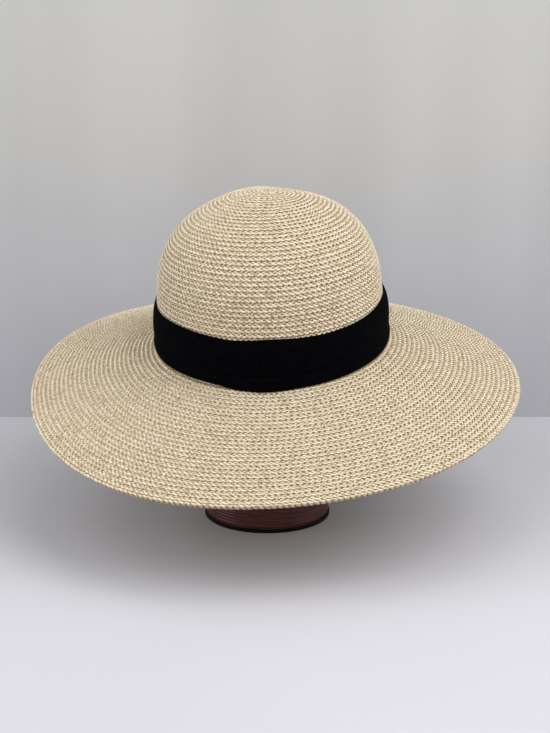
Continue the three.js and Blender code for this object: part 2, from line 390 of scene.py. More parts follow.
@dataclass(frozen=True)
class Petersham:
    """Black petersham ribbon, a matt woven cotton and viscose ribbon with fine cross ribs."""

    colours: tuple[str, str] = ("#030305", "#07070a")
    colour_places: tuple[float, float] = (0.3, 0.75)
    rib_mm: float = 0.55
    wave_scale: float = 3.14 / (2 * math.pi)
    distortion: float = 0.4
    wear_scale: float = 0.09
    bump: tuple[float, float] = (0.5, 0.08)
    roughness: float = 0.9
    specular: float = 0.015

    def material(self) -> Material:
        """Make the material. It reads the along and across attributes of the ribbon in millimetres."""
        paint = Paint("black_petersham_ribbon")
        along, across = [
            paint.math("DIVIDE", paint.attribute(name), self.rib_mm) for name in ("along", "across")
        ]
        place = paint.add("CombineXYZ", 0, {"X": along, "Y": across})
        inputs = {"Vector": place, "Scale": self.wave_scale, "Distortion": self.distortion, "Detail": 1.0}
        ribs = paint.add("TexWave", "Fac", inputs, wave_type="BANDS", bands_direction="X")
        wear = paint.noise(place, detail=3.0, scale=self.wear_scale)
        colour = paint.ramp(wear, self.colour_places, self.colours)
        paint.bump(ribs, *self.bump)
        return paint.finish(colour, self.roughness, self.specular)


@dataclass(frozen=True)
class GrainedFinish:
    """A finish that runs between two colours by one noise in the part's own place.

    The noise has so many cells a metre along each axis. The grain stands out by the bump's strength and
    its depth in millimetres.
    """

    name: str
    colours: tuple[str, str]
    colour_places: tuple[float, float]
    cells_a_metre: tuple[float, float, float]
    detail: float
    roughness: float
    specular: float = 0.5
    bump: tuple[float, float] | None = None

    def material(self) -> Material:
        """Make the material."""
        paint = Paint(self.name)
        grain = paint.noise(paint.place(self.cells_a_metre), self.detail)
        if self.bump:
            paint.bump(grain, *self.bump)
        colour = paint.ramp(grain, self.colour_places, self.colours)
        return paint.finish(colour, self.roughness, self.specular)


# The plait's hidden overlap, painted a darker tan than the strands as painted shade in the small gaps between
# strands
GROUND_STRAW = GrainedFinish(
    "straw_ground", ("#84704d", "#9a8560"), (0.3, 0.7), (300.0, 300.0, 300.0), detail=2.0, roughness=0.9
)

# Turned beech stained dark reddish brown under a satin varnish, its grain stretched round the turning
STAINED_BEECH = GrainedFinish(
    "stained_beech",
    ("#3c1b16", "#582f28"),
    (0.35, 0.68),
    (60.0, 60.0, 700.0),
    detail=5.0,
    roughness=0.40,
    specular=0.32,
    bump=(0.3, 0.1),
)

# Moulded black rubber of the foot, matt with small specks of faint dust
BLACK_RUBBER = GrainedFinish(
    "black_foot_rubber",
    ("#020102", "#080607"),
    (0.55, 0.8),
    (900.0, 900.0, 900.0),
    detail=3.0,
    roughness=0.6,
    specular=0.15,
)


@dataclass(frozen=True)
class BackdropCloth:
    """Pale cotton sheet behind and under the object, matt, with painted shade of soft folds and a painted
    falloff of light along one axis.
    """

    name: str
    colour: str
    far_colour: str
    axis: str
    span: tuple[float, float]
    fold_shade_scale: tuple[float, float, float]
    fold_shade_strength: float
    fold_shade_span: tuple[float, float] = (0.3, 0.7)
    roughness: float = 0.95
    specular: float = 0.1

    def material(self) -> Material:
        """Make the material: the colour runs from one end of the span to the other along the axis as a
        painted falloff of light.
        """
        paint = Paint(self.name)
        at = paint.add("SeparateXYZ", self.axis, {"Vector": paint.add("TexCoord", "Object", {})})
        # painted falloff of light from one end of the span to the other
        painted_falloff = paint.mix(paint.smooth(at, *self.span), linear(self.colour), linear(self.far_colour))
        # painted shade of soft folds: a noise scales the colour up and down
        inputs = {
            "Value": paint.noise(paint.place(self.fold_shade_scale), detail=2.0),
            "From Min": self.fold_shade_span[0],
            "From Max": self.fold_shade_span[1],
            "To Min": 1.0 - self.fold_shade_strength,
            "To Max": 1.0 + self.fold_shade_strength,
        }
        painted_fold_shade = paint.add("MapRange", "Result", inputs)
        shaded_cloth = paint.add("VectorMath", 0, {0: painted_falloff, "Scale": painted_fold_shade}, operation="SCALE")
        return paint.finish(shaded_cloth, self.roughness, self.specular)


# Form of the hat


@dataclass(frozen=True)
class HatForm:
    """The outer face of crown and brim, in millimetres, as one surface from the tip to the brim's edge."""

    place: tuple[float, float, float] = (3.9, 5.1, 142.1)
    tilt_degrees: tuple[float, float, float] = (8.8, -2.8, 1.3)
    base_half_width: float = 88.4
    corner_height: float = 1.8
    corner_reach: float = 4.0
    crown_heights: tuple[float, ...] = (1.8, 8.0, 20.7, 34.0, 48.0, 63.8, 83.8, 100.1, 112.5, 118.8, 121.3)
    crown_half_widths: tuple[float, ...] = (88.4, 88.4, 88.2, 87.4, 86.1, 83.9, 76.0, 61.4, 39.8, 22.3, 0.0)
    outline_steps: int = 24
    oval: float = 0.14
    lean_degrees: float = 4.4
    lean_heights: tuple[float, float] = (20.0, 115.0)
    shoulder_depth: float = 1.2
    shoulder_height: float = 94.0
    shoulder_spread: float = 22.0
    shoulder_fade: float = 40.0
    tip_rise: float = 0.3
    tip_radius: float = 7.0
    # Swollen or dented places: degrees round, arc from the tip, half width of each, and rise
    soft_spots: tuple[tuple[float, float, float, float, float], ...] = (
        (0.0, 18.0, 55.0, 13.0, -2.4),
        (65.0, 36.0, 38.0, 15.0, -1.7),
        (5.0, 52.0, 45.0, 20.0, 0.7),
    )
    brim_width: float = 103.7
    brim_width_side: float = 0.7
    brim_width_both: float = 0.7
    front_width: float = 2.0
    front_degrees: float = -108.0
    front_power: float = 6.0
    edge_mean: float = -36.2
    edge_cosines: tuple[float, ...] = (-5.0, 2.9, -0.5, 0.3)
    edge_sines: tuple[float, ...] = (1.3, -3.8, 2.0, -0.6)
    row_pitch: float = 3.48
    brim_rows: float = 29.0
    normal_steps: tuple[float, float] = (0.15, 0.01)
    first_row: float = 0.02

    def to_part(self, points: Array) -> Array:
        """Place hat points in the part's frame.

        Args:
            points: Millimetres in the hat's frame, x, y and z along the last axis.

        Returns:
            Metres in the part's frame: turned about x, then y, then z of the hat, then moved.
        """
        turn = np.eye(3)
        for axis, angle in enumerate(np.radians(self.tilt_degrees)):
            after, last = (axis + 1) % 3, (axis + 2) % 3
            step = np.eye(3)
            step[after, after] = step[last, last] = math.cos(angle)
            step[last, after], step[after, last] = math.sin(angle), -math.sin(angle)
            turn = turn @ step
        return (points @ turn.T + np.array(self.place)) * MM

    def half_length(self, half_width: Array) -> Array:
        """Half length of the oval of a half width: longer by oval times the root of its share of the base."""
        share = np.clip(half_width, 0, None) / self.base_half_width
        return half_width * (1 + self.oval * np.sqrt(share))

    def oval_points(self, half_width: Array, offset: Array, angle: Array, height: Array) -> Array:
        """Points so far off the oval of a half width, at an angle in radians and a height."""
        half_length = self.half_length(half_width)
        across, back = (half_width + offset) * np.cos(angle), (half_length + offset) * np.sin(angle)
        return np.stack([across, back, height], -1)

    def outline(self) -> tuple[Array, Array, Array]:
        """Crown outline from the tip down.

        Returns:
            Arc length from the tip, half width and height, finely stepped along uniform
            Catmull-Rom curves through the section table, which is mirrored at the tip.
        """
        knots = np.stack([self.crown_half_widths[::-1], self.crown_heights[::-1]], -1)
        before = knots[1] * np.array([-1, 1])
        after = 2 * knots[-1] - knots[-2]
        knots = np.vstack([before, knots, after])
        share = np.linspace(0, 1, self.outline_steps, endpoint=False)[:, None]
        spans = []
        for a, b, c, d in zip(knots, knots[1:], knots[2:], knots[3:]):
            square, cube = 2 * a - 5 * b + 4 * c - d, 3 * b - 3 * c + d - a
            spans.append(0.5 * (2 * b + (c - a) * share + square * share**2 + cube * share**3))
        curve = np.vstack([*spans, knots[-2][None]])
        arc = np.concatenate([[0], np.cumsum(np.linalg.norm(np.diff(curve, axis=0), axis=1))])
        return arc, curve[:, 0], curve[:, 1]

    def crown_half_width(self, height: Array) -> Array:
        """Half width of the crown's outer face at a height, straight between the rows of its table."""
        return np.interp(height, self.crown_heights, self.crown_half_widths)

    def crown_rows(self) -> float:
        """Number of plait rows from the tip to the line where crown and brim meet."""
        return float(self.outline()[0][-1]) / self.row_pitch

    def rows(self) -> float:
        """Number of plait rows from the tip to the brim's edge."""
        return self.crown_rows() + self.brim_rows

    def edge_height(self, angle: Array) -> Array:
        """Height of the brim's edge: its mean plus a sum of waves of one to four turns."""
        height = np.full_like(angle, self.edge_mean)
        for turns, (cosine, sine) in enumerate(zip(self.edge_cosines, self.edge_sines), start=1):
            height = height + cosine * np.cos(turns * angle) + sine * np.sin(turns * angle)
        return height

    def edge_width(self, angle: Array) -> Array:
        """Width of the brim: its mean, more towards +x, on both sides and left of the front by cosines."""
        side = np.cos(angle)
        front = np.clip(np.cos(angle - math.radians(self.front_degrees)), 0, 1) ** self.front_power
        width = self.brim_width + self.brim_width_side * side + self.brim_width_both * side**2
        return width + self.front_width * front

    def swell(self, angle: Array, arc: Array) -> Array:
        """Rise of the crown's soft spots: each its rise times a bell curve of angle and arc length."""
        swell = np.zeros_like(angle)
        for turn, place, turn_spread, spread, rise in self.soft_spots:
            away = (np.degrees(angle) - turn + 180) % 360 - 180
            swell = swell + rise * bell(away, turn_spread) * bell(arc - place, spread)
        return swell

    def surface(self, row: Array, angle: Array) -> Array:
        """Outer face of the hat.

        Args:
            row: Rows from the tip, a real number.
            angle: Angle round the hat in radians, 0 at its +x side.

        Returns:
            Millimetres in the hat's frame. On the crown the point lies on the outline's oval, let in
            at the flat shoulder, raised at the tip, and moved square to the outline by the soft spots.
            Rows turn back with height by the sine of the lean times their depth. On the brim it lies
            on a straight slope from the corner to the edge. Near the corner a quadratic curve rounds
            the two into each other.
        """
        arc_table, width_table, height_table = self.outline()
        total = arc_table[-1]
        drop = self.edge_height(angle) - self.corner_height
        brim_width = self.edge_width(angle)
        slope_length = np.hypot(brim_width, drop)
        beyond = (row - total / self.row_pitch) / self.brim_rows * slope_length
        arc = np.clip(row * self.row_pitch, 0, total)
        width = np.interp(arc, arc_table, width_table)
        height = np.interp(arc, arc_table, height_table)
        steps = np.hypot(np.gradient(width_table), np.gradient(height_table))
        out_share = np.interp(arc, arc_table, -np.gradient(height_table) / steps)
        up_share = np.interp(arc, arc_table, np.gradient(width_table) / steps)
        swell = self.swell(angle, arc)
        flat = bell(height - self.shoulder_height, self.shoulder_spread) * np.clip(-np.cos(angle), 0, 1)
        offset = swell * out_share - self.shoulder_depth * flat * part_way(0, self.shoulder_fade, width)
        height = height + self.tip_rise * bell(width, self.tip_radius) + swell * up_share
        depth = (self.half_length(width) + offset) * np.sin(angle)
        lean = math.radians(self.lean_degrees) * part_way(*self.lean_heights, height)
        height = height - depth * np.sin(lean)
        out_slope, down_slope = brim_width / slope_length, drop / slope_length
        on_brim = beyond > 0
        offset = np.where(on_brim, beyond * out_slope, offset)
        height = np.where(on_brim, self.corner_height + beyond * down_slope, height)
        reach = self.corner_reach
        share = part_way(-reach, reach, beyond)
        near = np.abs(beyond) < reach
        bend_height = self.corner_height + (1 - share) ** 2 * reach + share**2 * reach * down_slope
        offset = np.where(near, share**2 * reach * out_slope, offset)
        height = np.where(near, bend_height, height)
        half_width = np.where(on_brim | near, self.base_half_width, width)
        return self.oval_points(half_width, offset, angle, height)

    def down(self, row: Array, angle: Array, step: float) -> Array:
        """Way down the rows, from a small step each side of the point."""
        return self.surface(row + step, angle) - self.surface(np.maximum(row - step, self.first_row), angle)

    def normal(self, row: Array, angle: Array) -> Array:
        """Outward unit normal of the outer face, from small steps along a row and down the rows."""
        row_step, angle_step = self.normal_steps
        round_it = self.surface(row, angle + angle_step) - self.surface(row, angle - angle_step)
        return unit(np.cross(self.down(row, angle, row_step), round_it))

    def make_wall(
        self, name: str, layers: Sequence[Array], attributes: dict[str, Array] | None = None
    ) -> Piece:
        """Make a closed wall between two layers of points whose columns close into a ring.

        Args:
            name: Name of the piece.
            layers: Outer and inner points in the hat's frame, columns by rows.
            attributes: Named values of the outer points, which the inner ones share.

        Returns:
            The piece.
        """
        columns, rows = layers[0].shape[:2]
        section = np.concatenate([layers[0], layers[1][:, ::-1]], axis=1)
        values = {
            title: np.concatenate([value, value[:, ::-1]], axis=1)
            for title, value in (attributes or {}).items()
        }
        faces = ring_faces(columns, 2 * rows, True)
        return make_piece(name, self.to_part(section.reshape(-1, 3)), [faces], values)


# Plait


@dataclass(frozen=True)
class PlaitPart:
    """One stretch of the spiral that is a piece of its own, and the solids that it stands for."""

    name: str
    first_row: float
    last_row: float
    nodes: tuple[str, ...]


@dataclass
class Plait:
    """Flat three-strand plait sewn in a spiral from the tip of the crown to the edge of the brim."""

    form: HatForm
    straw: Material
    ground: Material
    strands: int = 3
    cell: float = 4.17
    stations_per_period: int = 8
    fine_steps: int = 60001
    down_step: float = 0.1
    sway: float = 1.7
    lift: float = 0.28
    strand_width: float = 1.95
    strand_depth: float = 0.66
    section: tuple[tuple[float, float], ...] = ((1.0, 0.0), (0.0, 1.0), (-1.0, 0.0), (0.0, -1.0))
    first_row: float = 0.42
    top_share: float = 0.62
    inner_rows: float = 12.15
    middle_rows: float = 21.3

    # How much the plait leans, by row: none at the tip, most on the crown's side, less on the brim
    shingle_rows: tuple[float, ...] = (0.5, 3.5, 12.0, 27.0, 35.0, 43.0)
    shingles: tuple[float, ...] = (0.0, 0.34, 0.43, 0.54, 0.56, 0.40)
    seat: float = 0.45

    # How far the plait lies under the face, by turns after it reaches the brim's edge
    edge_turns: tuple[float, ...] = (0.0, 0.12, 1.0, 1.12, 2.0, 2.12, 3.0)
    edge_unders: tuple[float, ...] = (0.0, 0.30, 0.30, 1.35, 1.35, 2.45, 2.45)
    edge_inset: float = 0.78

    # Unevenness of hand-guided sewing and of the straw itself
    seed: int = 7
    strand_seed: int = 10
    width_seed: int = 50
    wander_seed: int = 99
    jitter: float = 0.12
    uneven: float = 0.07
    short_step: float = 5.0
    long_step: float = 23.0
    width_step: float = 7.0
    wander: float = 0.16
    wander_step: float = 60.0

    # Painted light and shade for the straw's paint: lighter where a strand runs on top, darker where it runs
    # under, at its edges, at the tucked edge of each row and on the turns under the brim's edge
    rise_lag: float = 0.45
    rise_span: tuple[float, float] = (0.04, 0.79)
    proud_span: tuple[float, float] = (-0.75, 0.85)
    tucked_light: float = 0.38
    least_light: float = 0.10
    under_shade: float = 0.22
    corner_painted_light: tuple[float, ...] = (0.56, 1.0, 0.56, 0.0)
    below_painted_light: tuple[float, ...] = (0.0, 0.0, 0.0, 0.8)
    below_fade: float = 0.6

    ground_depth: float = 0.12
    ground_wall: float = 0.15
    ground_sides: int = 144
    ground_first: float = 0.3
    ground_inset: float = 0.4
    ground_rows: tuple[int, int] = (60, 24)

    def parts(self) -> list[PlaitPart]:
        """Share the rows out among pieces, with the crown's rows first."""
        crown, total = self.form.crown_rows(), self.form.rows() + self.edge_turns[-1]
        top, inner, middle = self.top_share * crown, crown + self.inner_rows, crown + self.middle_rows
        return [
            PlaitPart("crown_plait_top", self.first_row, top, ("crown",)),
            PlaitPart("crown_plait_side", top, crown, ("crown", "crown_wall")),
            PlaitPart("brim_plait_inner", crown, inner, ("brim",)),
            PlaitPart("brim_plait_middle", inner, middle, ("brim",)),
            PlaitPart("brim_plait_outer", middle, total, ("brim",)),
        ]

    def spiral(self, turns: Array) -> tuple[Array, Array, Array]:
        """Place of the plait's middle line.

        Args:
            turns: Turns from the tip, a real number.

        Returns:
            The row, the angle, and how far the plait lies under the face in millimetres. One turn is
            one row, until the last three turns stay at the brim's edge, each under the one before it.
        """
        last = self.form.rows() - self.edge_inset
        under = np.interp(turns - last, self.edge_turns, self.edge_unders)
        angle = 2 * math.pi * turns + math.pi / 2 - 2 * math.pi * last
        return np.minimum(turns, last), angle, under

    def stations(self) -> tuple[Array, Array]:
        """Even steps along the plait.

        Returns:
            Turns at each station, and arc length in millimetres. The arc length is summed over fine
            steps of the middle line, and the stations are found in it by interpolation.
        """
        last = self.form.rows() - self.edge_inset + self.edge_turns[-1]
        fine = np.linspace(self.first_row, last, self.fine_steps)
        row, angle, _ = self.spiral(fine)
        line = self.form.surface(row, angle)
        arc = np.concatenate([[0], np.cumsum(np.linalg.norm(np.diff(line, axis=0), axis=1))])
        places = np.arange(0, arc[-1], self.strands * self.cell / self.stations_per_period)
        return np.interp(places, arc, fine), places

    def phase(self, along: Array, strand: int) -> Array:
        """Phase of a strand: a full turn for each period, a share of a turn on from the strand before."""
        jitter = self.jitter * slow_noise(along, self.short_step, self.seed + self.strand_seed * strand)
        return 2 * math.pi * (along / (self.strands * self.cell) + strand / self.strands) + jitter

    def strand_points(self, turns: Array, along: Array, strand: int) -> Array:
        """Middle line of one strand.

        Args:
            turns: Turns from the tip at each station.
            along: Arc length at each station.
            strand: Number of the strand.

        Returns:
            Millimetres in the hat's frame. The strand sways across by sway times the sine of its
            phase, and it rises by lift times the sine of twice its phase. The plait leans so that its
            lower edge stands proud and its upper edge is tucked under the row before.
        """
        row, angle, under = self.spiral(turns)
        phase, seed = self.phase(along, strand), self.seed + self.strand_seed * strand
        short = slow_noise(along, self.short_step, seed)
        long = slow_noise(along, self.long_step, seed + 1)
        across = self.sway * (1 + self.uneven * long) * np.sin(phase)
        above = self.lift * np.sin(2 * phase) + self.uneven * short
        lean = np.interp(row, self.shingle_rows, self.shingles) * across / self.sway
        wander = self.wander * slow_noise(along, self.wander_step, self.seed + self.wander_seed)
        out = (above + lean - self.seat - under)[:, None] * self.form.normal(row, angle)
        down = (across + wander)[:, None] * unit(self.form.down(row, angle, self.down_step))
        return self.form.surface(row, angle) + down + out

    def painted_light_share(self, along: Array, under: Array, strand: int) -> Array:
        """Painted light and shade at each corner of a strand's section.

        Args:
            along: Arc length at each station.
            under: How far the plait lies under the face at each station.
            strand: Number of the strand.

        Returns:
            Shares from 0 to 1, stations by corners, where 0 is full painted shade and 1 full painted light:
            most along the back of the strand where it runs on top, and along its belly where it runs below.
        """
        phase = self.phase(along, strand)
        rise = 0.5 + 0.5 * np.sin(2 * phase - self.rise_lag)
        proud = smooth_step(*self.proud_span, np.sin(phase))
        light = smooth_step(*self.rise_span, rise) * (self.tucked_light + (1 - self.tucked_light) * proud)
        light = self.least_light + (1 - self.least_light) * light
        light = light * (1 - self.under_shade * under)
        below = np.array(self.below_painted_light) * (1 - self.below_fade * rise)[:, None]
        return np.array(self.corner_painted_light) * light[:, None] + below

    def strand_mesh(
        self, centre: Array, normal: Array, along: Array, under: Array, strand: int
    ) -> tuple[Array, Array, dict[str, Array]]:
        """Closed tube of one strand.

        Args:
            centre: Middle line in millimetres.
            normal: Outward normal of the hat at each station.
            along: Arc length at each station.
            under: How far the plait lies under the face at each station.
            strand: Number of the strand.

        Returns:
            Points, four-sided faces and attributes. The section is a flat lens of strand width and
            depth, square to the strand's run, and each end is closed with one face.
        """
        run = unit(np.gradient(centre, axis=0))
        side = unit(np.cross(normal, run))
        rise = np.cross(run, side)
        section = np.array(self.section)
        uneven = self.uneven * slow_noise(along, self.width_step, self.seed + self.width_seed + strand)
        across = (self.strand_width / 2 * (1 + uneven))[:, None] * section[:, 0]
        above = self.strand_depth / 2 * section[:, 1]
        points = centre[:, None] + side[:, None] * across[..., None] + rise[:, None] * above[None, :, None]
        points = points.reshape(-1, 3)
        sides, count = len(section), len(centre)
        station, corner = grid(np.arange(count - 1), np.arange(sides))
        near, far, after = station * sides, (station + 1) * sides, (corner + 1) % sides
        faces = np.stack([near + corner, near + after, far + after, far + corner], -1).reshape(-1, 4)
        ends = np.array([np.arange(sides)[::-1], (count - 1) * sides + np.arange(sides)])
        attributes = {
            # painted light and shade of each point, for the straw's paint
            "painted_light": self.painted_light_share(along, under, strand).ravel(),
            "along": np.repeat(along, sides),
            "across": across.ravel(),
            "strand": np.full(len(points), float(strand)),
        }
        return points, np.vstack([faces, ends]), attributes

    def build(self) -> list[Piece]:
        """Make every piece of the plait and the ground under it."""
        turns, along = self.stations()
        row, angle, under = self.spiral(turns)
        normal = self.form.normal(row, angle)
        lines = [self.strand_points(turns, along, strand) for strand in range(self.strands)]
        pieces = []
        for part in self.parts():
            here = np.flatnonzero((turns >= part.first_row) & (turns <= part.last_row))
            meshes = [
                self.strand_mesh(line[here], normal[here], along[here], under[here], strand)
                for strand, line in enumerate(lines)
            ]
            starts = np.cumsum([0] + [len(points) for points, _, _ in meshes[:-1]])
            points = np.vstack([points for points, _, _ in meshes])
            faces = np.vstack([faces + start for (_, faces, _), start in zip(meshes, starts)])
            attributes = {
                title: np.concatenate([mesh[2][title] for mesh in meshes]) for title in meshes[0][2]
            }
            piece = make_piece(part.name, self.form.to_part(points), [faces], attributes)
            dress(piece, self.straw, Slot.STRAW, *part.nodes)
            pieces.append(piece)
        first, crown = self.ground_first, self.form.crown_rows()
        last, (upper, lower) = self.form.rows() - self.ground_inset, self.ground_rows
        pieces.append(self.build_ground("crown_ground", first, crown, upper, "crown", "crown_wall"))
        pieces.append(self.build_ground("brim_ground", crown, last, lower, "brim"))
        return pieces

    def build_ground(self, name: str, first: float, last: float, rows: int, *nodes: str) -> Piece:
        """Thin closed wall in the middle of the plait's depth, from one row to another.

        Args:
            name: Name of the piece.
            first: First row.
            last: Last row.
            rows: Steps from the first row to the last.
            nodes: The solids that it stands for.

        Returns:
            The piece.
        """
        angle, row = grid(full_turn(self.ground_sides), np.linspace(first, last, rows))
        face, normal = self.form.surface(row, angle), self.form.normal(row, angle)
        upper = face - normal * (self.seat + self.ground_depth)
        piece = self.form.make_wall(name, (upper, upper - normal * self.ground_wall))
        dress(piece, self.ground, Slot.STRAW, *nodes)
        return piece


# Ribbon


@dataclass
class Ribbon:
    """Black ribbon round the crown: two pleats with a crease between them, and a stitched join in front."""

    form: HatForm
    cloth: Material
    sides: int = 400
    thickness: float = 0.9
    inner_limit: float = 0.9
    inner_least: float = 0.4

    # Section of the ribbon from its upper edge over the upper pleat, the crease and the lower pleat
    heights: tuple[float, ...] = (
        39.4, 38.8, 38.0, 36.0, 33.0, 30.0, 27.0, 24.0, 21.0, 18.0, 16.0, 14.8, 13.8, 13.1, 12.7,
        12.5, 12.3, 11.8, 11.0, 9.4, 7.0, 5.2, 3.6, 2.4, 1.7,
    )
    stand_offs: tuple[float, ...] = (
        1.4, 1.6, 1.8, 2.4, 3.1, 3.5, 3.65, 3.7, 3.7, 3.6, 3.5, 3.4, 3.3, 3.15, 2.9,
        2.4, 2.3, 2.6, 3.1, 3.6, 3.9, 3.9, 3.75, 3.4, 3.0,
    )

    # How far each edge rises, by degrees from the join
    lift_places: tuple[float, ...] = (
        -80.0, -65.0, -48.0, -40.0, -30.0, -20.0, -14.0, -6.0, 0.0, 6.0, 12.0, 19.0, 30.0, 48.0, 65.0, 80.0,
    )
    lower_lifts: tuple[float, ...] = (
        0.0, 1.2, 1.9, 1.9, 1.9, 1.4, -0.2, -1.3, -2.1, -1.7, -0.9, -0.2, 0.1, 0.6, 0.5, 0.0,
    )
    upper_lifts: tuple[float, ...] = (
        -1.2, -0.8, 0.3, 0.5, 0.1, -0.5, -0.9, -0.4, 0.1, 0.3, 0.0, -0.6, -1.2, -1.3, -1.0, -0.4,
    )
    upper_fade: tuple[float, float] = (20.0, 39.4)
    lower_fade: tuple[float, float] = (16.0, 2.0)
    spread_out: float = 1.2
    spread_down: float = 0.3

    # Join: depth and half width of its groove, and height, place and half width of the ridge beside it
    seam_degrees: float = 264.3
    seam_reach: float = 2.4
    seam_step: float = 0.12
    groove: tuple[float, float] = (0.45, 0.35)
    ridge: tuple[float, float, float] = (0.4, -1.0, 0.7)

    # Slow waves of the upper pleat: size, turns and phase of each, and the heights where they fade
    waves: tuple[tuple[float, float, float], ...] = ((0.18, 5.0, 1.0), (0.12, 9.0, 2.2))
    wave_rise: tuple[float, float] = (14.0, 26.0)
    wave_fall: tuple[float, float] = (39.0, 33.0)

    mean_radius: float = 94.0
    flat_width: float = 0.048
    join_overlap: float = 0.010

    def angles(self) -> Array:
        """Angles of the columns from the back of the hat round, set closely near the join in front."""
        whole = np.linspace(90, 450, self.sides, endpoint=False)
        close = self.seam_degrees + np.arange(-self.seam_reach, self.seam_reach + 0.01, self.seam_step)
        return np.radians(np.unique(np.concatenate([whole, close])))

    def profile(self, angle: Array, knot: Array) -> tuple[Array, Array]:
        """Outer face of the ribbon.

        Args:
            angle: Angle round the hat in radians.
            knot: Place in the section tables, a whole number.

        Returns:
            Stand-off from the crown and height in millimetres. The upper edge rises by its lift and the
            lower edge by its own, both faded out towards the crease. Where the lower edge runs down
            past the crown's foot it spreads over the straw instead. At the join a groove and a ridge
            are bell curves of the distance from it.
        """
        height, off = np.array(self.heights)[knot], np.array(self.stand_offs)[knot]
        away = np.degrees(angle) - self.seam_degrees
        upper = np.interp(away, self.lift_places, self.upper_lifts) * part_way(*self.upper_fade, height)
        lower = np.interp(away, self.lift_places, self.lower_lifts)
        lower_share = part_way(*self.lower_fade, height)
        spread = np.clip(-lower, 0, None) * lower_share**2
        rise = upper + np.clip(lower, 0, None) * lower_share - self.spread_down * spread
        from_seam = np.radians(away) * self.mean_radius
        groove = self.groove[0] * bell(from_seam, self.groove[1])
        ridge = self.ridge[0] * bell(from_seam - self.ridge[1], self.ridge[2])
        wave = sum(size * np.sin(turns * angle + phase) for size, turns, phase in self.waves)
        loose = part_way(*self.wave_rise, height) * part_way(*self.wave_fall, height)
        return off + self.spread_out * spread - groove + ridge + wave * loose, height + rise

    def build(self) -> list[Piece]:
        """Make the ribbon as one closed wall round the crown."""
        angle, knot = grid(self.angles(), np.arange(len(self.heights)))
        off, height = self.profile(angle, knot)
        width = self.form.crown_half_width(height)
        steps = np.hypot(np.diff(self.heights), np.diff(self.stand_offs))
        across = np.broadcast_to(np.concatenate([[0], np.cumsum(steps)]), angle.shape)
        inner_limit = np.minimum(self.inner_limit, off - self.inner_least)
        layers = [
            self.form.oval_points(width, far, angle, height)
            for far in (off, np.maximum(off - self.thickness, inner_limit))
        ]
        attributes = {"along": angle * self.mean_radius, "across": across}
        band = self.form.make_wall("ribbon_band", layers, attributes)
        dress(band, self.cloth, Slot.RIBBON, "band")
        return [band]


